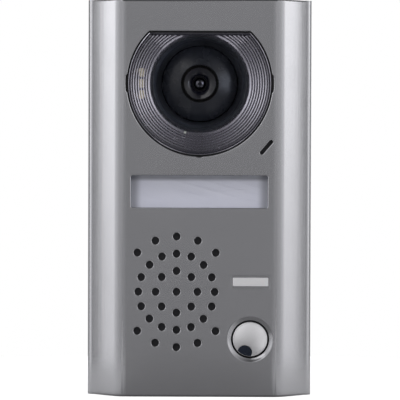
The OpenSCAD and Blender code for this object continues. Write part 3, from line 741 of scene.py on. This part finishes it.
def camera_window():
    """Clear plate with turned ribs on the back of its ring."""
    b = Builder()
    angles = [2 * math.pi * i / 288 for i in range(288)]

    def ring(r, y, top):
        reach = [window_edge(a, r, top) for a in angles]
        return b.loop([(d * math.cos(a), EYE_Z + d * math.sin(a)) for d, a in zip(reach, angles)], y)

    def join(rows, zones):
        rings = [ring(*row) for row in rows]
        for zone, a, c in zip(zones, rings, rings[1:]):
            b.zone = zone
            b.bridge(a, c)
        b.zone = 0
        b.fill(rings[-1])

    edge, top = WINDOW_R - 0.6, WINDOW_TOP - 0.6
    front = [(edge, PLATE_BACK, top), (edge, PLATE + 0.4, top), (edge - 0.12, PLATE + 0.12, top - 0.12),
             (edge - 0.4, PLATE, top - 0.4), (edge - 1.2, PLATE, top - 1.0),
             (edge - 1.35, PLATE + 0.3, top - 1.15), (RING_IN, PLATE + 0.3, ROUND),
             (RING_IN - 0.3, PLATE + 0.2, ROUND), (12, PLATE + 0.2, ROUND)]
    # zone 2 is painted shade on the plate's edge and flat front rim; zone 1 is the bright rounded edge
    join(front, [2, 2, 1, 2, 2, 0, 2, 0])
    back, zones, r = [(edge, PLATE_BACK, top)], [2], RIB_OUT
    # each rib: a bright shallow side, then a steep side in painted shade
    for _ in range(RIB_COUNT):
        back.append((r, PLATE_BACK - RIB_RISE, top - 1.0))
        back.append((r - RIB_PITCH * RIB_SLOPE, PLATE_BACK, top - 1.0 - RIB_PITCH * 0.2))
        zones += [1, 2]
        r -= RIB_PITCH
    join(back + [(r, PLATE_BACK, ROUND), (RING_IN, PLATE_BACK, ROUND)], zones + [3])
    finishes = [MAT["clear_plastic"], RIBBED_CLEAR, RIB_PAINTED_SHADE, MAT["black_gloss"]]
    placed(b.object("window_plate", finishes, 12), "panel", "clear_plastic", "camera_window")


def reflector():
    """Silvered ring with upright ribs, seen through the round ribs of the window."""
    b = Builder()
    steps, rows = 720, 44
    inner, outer, top = RING_IN + 0.1, WINDOW_R - 1.4, WINDOW_TOP - 1.0
    rings = []
    for k in range(rows + 1):
        ring = []
        for i in range(steps):
            a = 2 * math.pi * i / steps
            reach = max(window_edge(a, outer, top), inner + 0.05)
            r = inner + (reach - inner) * k / rows
            x, z = r * math.cos(a), r * math.sin(a)
            wave = abs((x / UPRIGHT_RIB) % 1.0 - 0.5) * 2
            ring.append(b.point(x, REFLECTOR + UPRIGHT_DEEP * wave, EYE_Z + z))
        rings.append(ring)
    b.bridge_all(rings)
    back = [[b.point(v.co.x / MM, REFLECTOR + REFLECTOR_DEEP, v.co.z / MM) for v in ring]
            for ring in (rings[-1], rings[0])]
    b.bridge_all([rings[-1], *back, rings[0]])
    ring = b.object("rib_reflector", MAT["diffuser_plastic"], 180, even_shading=False)
    placed(ring, "panel", "diffuser_plastic", "light_diffuser")


def led_bar(name, side):
    """Three warm pads on one side of the ring, closer together than the CAD's LEDs behind the reflector;
    their glow is painted light.
    """
    b = Builder()
    front = REFLECTOR - LED_BAR_DEEP
    for place in (-1, 0, 1):
        outline = rounded(LED_BAR_W, LED_BAR_H, 0.8, (side * LED_BAR_R, EYE_Z + place * LED_BAR_STEP))
        b.solid([b.loop(grown(outline, -LED_BAR_EDGE), front), b.loop(outline, front + LED_BAR_EDGE),
                 b.loop(outline, REFLECTOR)])
    placed(b.object(name, PHOSPHOR_PAINTED_GLOW), "panel", "led_clear")


def sensor_pipe():
    """Small light pipe inside the window plate, in front of the light sensor."""
    at = middle("light_sensor")
    rows = [(0, 0.7), (0.35, 0.75), (0.5, 0.95), (0.5, 1.3), (0, 1.3)]
    rows = [(r, PLATE + deep) for r, deep in rows]
    pipe = lathe("sensor_pipe", rows, (at.x, at.z), MAT["sensor_clear"], 24, close=False)
    placed(pipe, "panel", "sensor_clear")


camera_window()
reflector()
led_bar("led_bar_left", -1)
sensor_pipe()


# ---------- the eye: turned profiles as (radius, y) ----------

SHROUD = [(20.2, -25.7), (20.4, -25.85), (21.0, -25.85), (21.15, -25.6), (21.15, -25.1), (20.4, -24.3),
          (20.4, -14.8), (22, -14.8), (22, -13.3), (17.5, -13.3), (16.8, -14.3), (18.7, -15.2),
          (19.2, -15.8)]
CONE_IN, CONE_OUT, CONE_BULGE, CONE_STEPS = (8.4, -23.04), (16.0, -19.32), 0.22, 16
BRIM = [(16.25, -19.14), (16.4, -18.9), (16.35, -18.65), (16.1, -18.4), (14.7, -17.45)]
BALL_FROM, BALL_TO = 54.6, 80.4                      # degrees from the front
BALL_INNER_R, BALL_INNER_FROM = 16.5, 30.0
WEB = [(7.0, -17.0), (13.6, -17.0), (13.6, -15.5), (7.0, -15.5)]
BARREL = [(7.05, -22.9), (6.98, -23.1), (6.8, -23.2), (6.5, -23.18), (5.1, -22.7), (4.8, -22.52),
          (4.4, -22.22), (4.05, -21.9), (3.75, -21.55), (3.5, -21.2), (3.45, -20.6), (3.3, -20.6),
          (3.3, -15), (5.6, -15), (5.6, -12.6), (6.97, -12.6), (6.97, -17.4), (7.05, -17.5)]
LENS_RING = [(2.72, -20.9), (2.85, -21.15), (3.25, -21.15), (3.4, -20.95), (3.4, -20.7), (2.72, -20.7)]
DOME_R, DOME_Y, DOME_BACK = 2.7, -19.6, -18.2


def on_sphere(r, y, degrees):
    """Point of a ball's profile, by its angle from the front."""
    a = math.radians(degrees)
    return (r * math.sin(a), y - r * math.cos(a))


def ball_rows(r, start, stop, steps, first):
    return [on_sphere(r, BALL_Y, start + (stop - start) * i / steps) for i in range(first, steps + 1)]


def pin(name, side):
    """Cheek and trunnion pin on one side of the ball."""
    b = Builder()
    outline = rounded(6, 5.2, 0.8, (BALL_Y - 1, EYE_Z))
    b.solid([[b.point(side * x, y, z) for y, z in outline] for x in (15.8, 17.6)])
    b.solid([[b.point(side * x, BALL_Y + y, EYE_Z + z) for y, z in circle(r, 24)]
             for x, r in ((17.6, 1.5), (20.7, 1.5), (21.0, 1.2))])
    placed(b.object(name, MAT["black_matte"]), "camera", "black_matte")


def eye_ball():
    """Shallow black cone in front, its rounded brim, and the ball behind it."""
    rows = [(8.2, -22.9), (8.24, -23.0), CONE_IN]
    for i in range(1, CONE_STEPS + 1):
        t = i / CONE_STEPS
        r, y = [p + (q - p) * t for p, q in zip(CONE_IN, CONE_OUT)]
        rows.append((r, y - CONE_BULGE * math.sin(math.pi * t)))
    rows += BRIM
    rows += ball_rows(BALL_R, BALL_FROM, BALL_TO, 10, 1)
    rows.append((16.4, -10))
    rows += ball_rows(BALL_INNER_R, BALL_TO, BALL_INNER_FROM, 20, 0)
    rows.append((8.2, -21.2))
    placed(lathe("eye_ball", rows, EYE, MAT["black_gloss"]), "camera", "black_gloss", "camera_ball")


def lens():
    """Barrel, retaining ring and front glass."""
    barrel = lathe("barrel_body", BARREL, EYE, [BARREL_BLACK, BARREL_FACE], zones=[0, 0] + [1] * 7)
    placed(barrel, "camera", "black_matte", "lens_barrel")
    ring = lathe("lens_ring_black", LENS_RING, EYE, BARREL_BLACK)
    placed(ring, "camera", "black_gloss", "lens_ring")
    dome = [on_sphere(DOME_R, DOME_Y, a) for a in range(0, 79, 6)] + [(DOME_R, DOME_BACK), (0, DOME_BACK)]
    finishes = [MAT["lens_coated"], LENS_RIM]
    glass = lathe("lens_front_glass", dome, EYE, finishes, zones=[0] * 3 + [1] * 7, close=False)
    placed(glass, "camera", "lens_coated", "lens_glass")


def camera_parts():
    # the funnel's inner wall and floor take the painted light grey
    funnel = lathe("shroud_funnel", SHROUD, EYE, [MAT["black_gloss"], FUNNEL_PAINTED_LIGHT], zones=[0] * 10 + [1] * 3)
    placed(funnel, "panel", "black_gloss", "lens_shroud")
    eye_ball()
    placed(lathe("eye_web", WEB, EYE, BARREL_BLACK), "camera", "black_matte")
    pin("eye_pin_left", -1)
    pin("eye_pin_right", 1)
    lens()


camera_parts()


# ---------- name window, badge and call button ----------

def plate(node, name, outline, finish, edge, slot):
    """Flat plate with a rounded front edge, as thick as the CAD node that it replaces."""
    b = Builder()
    low, high = box_mm(node)
    loops = [b.loop(grown(outline, -edge * (1 - math.sin(a))), low.y + edge * (1 - math.cos(a)))
             for a in QUARTER_TURN]
    loops.append(b.loop(outline, high.y))
    b.solid(loops)
    placed(b.object(name, finish), "panel", slot, node)


def sized(node, less, corner, centre):
    """Rounded outline of a node's width and height, less a little."""
    return rounded(size(node).x - less, size(node).z - less, corner, (centre.x, centre.z))


name_outline = rounded(NAME_W - 0.4, NAME_H - 0.4, 0.7, (NAME_MID.x, NAME_MID.z))
plate("name_window", "name_cover", name_outline, MAT["clear_plastic"], 0.25, "clear_plastic")
card_outline = sized("name_card", 0, 0.5, NAME_MID)
plate("name_card", "name_card_sheet", card_outline, MAT["white_card"], 0.1, "white_card")
badge_outline = sized("badge_plate", 0.15, 0.35, BADGE)
plate("badge_plate", "badge_blank", badge_outline, BADGE_FINISH, 0.15, "satin_steel")

CROWN, CAP_EDGE = 1.0, 0.5                           # rise of the cap's middle, and rounding of its edge
STEM_R = 3.0
JEWEL_AT, JEWEL_HOLE, JEWEL_R = (-2.3, -5.85), 3.25, 3.12
JEWEL_DEEP, JEWEL_SUNK, JEWEL_SCALE = 1.2, 0.14, 0.985


def call_button():
    """Crowned cap with a round cut-out that runs over its edge, and the tinted eye in it."""
    low, high = box_mm("call_button_cap")
    face = low.y
    centre = (BUTTON.x, BUTTON.z)
    flat = BUTTON_R - CAP_EDGE
    rows = [(flat * i / 12, face + CROWN * (flat * i / 12 / BUTTON_R) ** 2) for i in range(13)]
    rows += arc(flat, face + CROWN * 0.86 + CAP_EDGE, CAP_EDGE, math.radians(-80), 0, 6)
    stem = [(BUTTON_R, face + 2), (STEM_R, face + 2), (STEM_R, high.y), (0, high.y)]
    cap = lathe("button_cap", rows + stem, centre, MAT["satin_steel"], close=False)
    eye = (centre[0] + JEWEL_AT[0], centre[1] + JEWEL_AT[1])

    def disc(name, r, above, finish):
        profile = [(0, face - above), (r, face - above), (r, face + JEWEL_DEEP), (0, face + JEWEL_DEEP)]
        return lathe(name, profile, eye, finish, 64, close=False)

    cut(cap, disc("cutter", JEWEL_HOLE, 2, MAT["satin_steel"]), "DIFFERENCE")
    placed(cap, "call_button", "satin_steel", "call_button_cap")
    jewel = disc("button_eye", JEWEL_R, 1, MAT["navy_gloss"])
    body = [(r * JEWEL_SCALE, y + JEWEL_SUNK) for r, y in rows]
    body += [(BUTTON_R * JEWEL_SCALE, face + 1.9), (0, face + 1.9)]
    cut(jewel, lathe("limit", body, centre, MAT["navy_gloss"], close=False), "INTERSECT")
    placed(jewel, "call_button", "navy_gloss", "call_button_lens")


call_button()


# ---------- stage, light and camera ----------

# painted shade on the floor under the panel and painted light towards the sides, as the panel reflects it
FLOOR_PAINTED_SHADE_AND_LIGHT = (0.032, 0.06, 0.44, 1.6)       # metres from the middle, and how pale it is there
FLOOR_GLOW = 0.75
FLOOR_R = 200                                        # mm

BOX_X, BOX_Y, BOX_Z = 0.8, -0.105, 0.1               # the right softbox; the left one mirrors it
BOX_DEPTH, BOX_TALL = 0.27, 1.0
BOX_FADE = (-0.2, 0.12, 0.03, 1.0)                   # heights in metres, and the share of the power there

# the room that the panel reflects: direction from, to, and strength there
SIDE_GLOW = (0.05, 0.95, 0.0, 0.66)
FLANK_GLOW = (0.75, 1.0, 0.0, 0.65)
UPWARD = (-0.5, 0.3, 0.2, 1.0)
BEHIND = (-0.02, 0.12, 1.0, 0.1)
ROOM_GLOW = (-0.4, 0.6, 0.265, 0.61)
CEILING = (0.3, 0.8, 1.0, 0.08)

AWAY, SEEN_WIDTH = 1.23, 0.1738                      # metres
LIFT, ASIDE, ROLL = math.radians(1.5), math.radians(0.4), math.radians(0.2)
AIM = Vector((0.0003, FRONT * MM, -0.0007))
SENSOR = 36


def floor_material():
    """Pale floor, shown white to the camera; in the panel's reflections it has painted shade under the panel
    and painted light brightening towards both sides.
    """
    m = bpy.data.materials.new("stage_white")
    m.use_nodes = True
    tree = m.node_tree
    shader = tree.nodes["Principled BSDF"]
    shader.inputs["Roughness"].default_value = 0.9
    shader.inputs["Emission Color"].default_value = (1, 1, 1, 1)
    to_camera = tree.nodes.new("ShaderNodeLightPath").outputs["Is Camera Ray"]
    split = tree.nodes.new("ShaderNodeSeparateXYZ")
    tree.links.new(tree.nodes.new("ShaderNodeTexCoord").outputs["Object"], split.inputs["Vector"])
    shade = tree.nodes.new("ShaderNodeMix")
    shade.data_type = "RGBA"
    # painted shade and painted light on the floor, for reflections only
    pale = map_range(tree, maths(tree, "ABSOLUTE", split.outputs["X"]), FLOOR_PAINTED_SHADE_AND_LIGHT)
    tree.links.new(pale, shade.inputs["A"])
    shade.inputs["B"].default_value = (0.93, 0.93, 0.93, 1)
    tree.links.new(to_camera, shade.inputs["Factor"])
    tree.links.new(shade.outputs["Result"], shader.inputs["Base Color"])
    tree.links.new(maths(tree, "MULTIPLY", to_camera, FLOOR_GLOW), shader.inputs["Emission Strength"])
    return m


def floor():
    b = Builder()
    b.face([b.point(x, y, -HALF_H - 0.05) for x, y in circle(FLOOR_R, 64)])
    b.object("floor", floor_material(), even_shading=False)


def area_light(name, wide, tall, power):
    light = bpy.data.lights.new(name, "AREA")
    light.shape = "RECTANGLE"
    light.size = wide
    light.size_y = tall
    light.energy = power
    obj = bpy.data.objects.new(name, light)
    bpy.context.scene.collection.objects.link(obj)
    return obj


def softbox(name, side, power):
    """Tall soft panel beside the object, in front of it and reaching just behind it."""
    box = area_light(name, BOX_DEPTH, BOX_TALL, power)
    box.location = (side * BOX_X, BOX_Y, BOX_Z)
    box.rotation_euler = (math.radians(90), 0, math.radians(90 * side))
    box.data.use_nodes = True
    tree = box.data.node_tree
    split = tree.nodes.new("ShaderNodeSeparateXYZ")
    tree.links.new(tree.nodes.new("ShaderNodeNewGeometry").outputs["Position"], split.inputs["Vector"])
    tree.links.new(map_range(tree, split.outputs["Z"], BOX_FADE), tree.nodes["Emission"].inputs["Strength"])


def lamp(name, azimuth, height, away, wide, tall, power, color=(1, 1, 1)):
    """Soft light aimed at the middle of the front; angles in degrees, azimuth to the right of the front."""
    lit = area_light(name, wide, tall, power)
    lit.data.color = color
    a, h = math.radians(azimuth), math.radians(height)
    aim = Vector((0, FRONT * MM, 0))
    lit.location = aim + away * Vector((math.sin(a) * math.cos(h), -math.cos(a) * math.cos(h), math.sin(h)))
    lit.rotation_euler = (aim - lit.location).to_track_quat("-Z", "Y").to_euler()
    return lit


def only_on(light, *pieces):
    """Lets a light reach the named pieces only."""
    lit = bpy.data.collections.new(light.name + "_pieces")
    for piece in pieces:
        lit.objects.link(bpy.data.objects[piece])
    light.light_linking.receiver_collection = lit


def room_strength(tree):
    """How bright the reflected room is along each direction."""
    split = tree.nodes.new("ShaderNodeSeparateXYZ")
    tree.links.new(tree.nodes.new("ShaderNodeTexCoord").outputs["Generated"], split.inputs["Vector"])
    across, up = maths(tree, "ABSOLUTE", split.outputs["X"]), split.outputs["Z"]
    sides = maths(tree, "ADD", map_range(tree, across, SIDE_GLOW), map_range(tree, across, FLANK_GLOW))
    sides = maths(tree, "MULTIPLY", sides, map_range(tree, up, UPWARD, smooth=True))
    sides = maths(tree, "MULTIPLY", sides, map_range(tree, split.outputs["Y"], BEHIND, smooth=True))
    room = map_range(tree, up, ROOM_GLOW, smooth=True)
    room = maths(tree, "MULTIPLY", room, map_range(tree, up, CEILING, smooth=True))
    return maths(tree, "ADD", sides, room)


def world():
    """White to the camera; to the panel a dim room that brightens towards both sides."""
    w = bpy.data.worlds.new("studio")
    bpy.context.scene.world = w
    w.use_nodes = True
    tree = w.node_tree
    seen = tree.nodes["Background"]
    seen.inputs["Color"].default_value = (1, 1, 1, 1)
    room = tree.nodes.new("ShaderNodeBackground")
    room.inputs["Color"].default_value = (0.98, 0.98, 1, 1)
    tree.links.new(room_strength(tree), room.inputs["Strength"])
    mix = tree.nodes.new("ShaderNodeMixShader")
    tree.links.new(tree.nodes.new("ShaderNodeLightPath").outputs["Is Camera Ray"], mix.inputs["Fac"])
    tree.links.new(room.outputs["Background"], mix.inputs[1])
    tree.links.new(seen.outputs["Background"], mix.inputs[2])
    tree.links.new(mix.outputs["Shader"], tree.nodes["World Output"].inputs["Surface"])


def camera():
    data = bpy.data.cameras.new("camera")
    obj = bpy.data.objects.new("camera", data)
    bpy.context.scene.collection.objects.link(obj)
    bpy.context.scene.camera = obj
    data.sensor_width = SENSOR
    data.lens = SENSOR * AWAY / SEEN_WIDTH
    data.clip_start = 0.01
    data.clip_end = 20
    obj.location = AIM + Vector((math.sin(ASIDE), -math.cos(LIFT), math.sin(LIFT))) * AWAY
    turn = (AIM - obj.location).to_track_quat("-Z", "Y").to_euler()
    turn.rotate_axis("Z", ROLL)
    obj.rotation_euler = turn


floor()
world()
softbox("left_box", side=-1, power=0.82)
softbox("right_box", side=1, power=0.76)
window_light = lamp("window_light", azimuth=52, height=6, away=1.2, wide=0.4, tall=0.6, power=2.2,
                    color=(0.72, 0.8, 1))
only_on(window_light, "eye_ball", "shroud_funnel", "barrel_body", "lens_front_glass")
lamp("fill_light", azimuth=-25, height=35, away=1.3, wide=0.8, tall=0.4, power=1.2)
lamp("back_light", azimuth=160, height=8, away=1.6, wide=1.0, tall=1.0, power=3)
camera()
bpy.context.scene.view_settings.view_transform = "Standard"
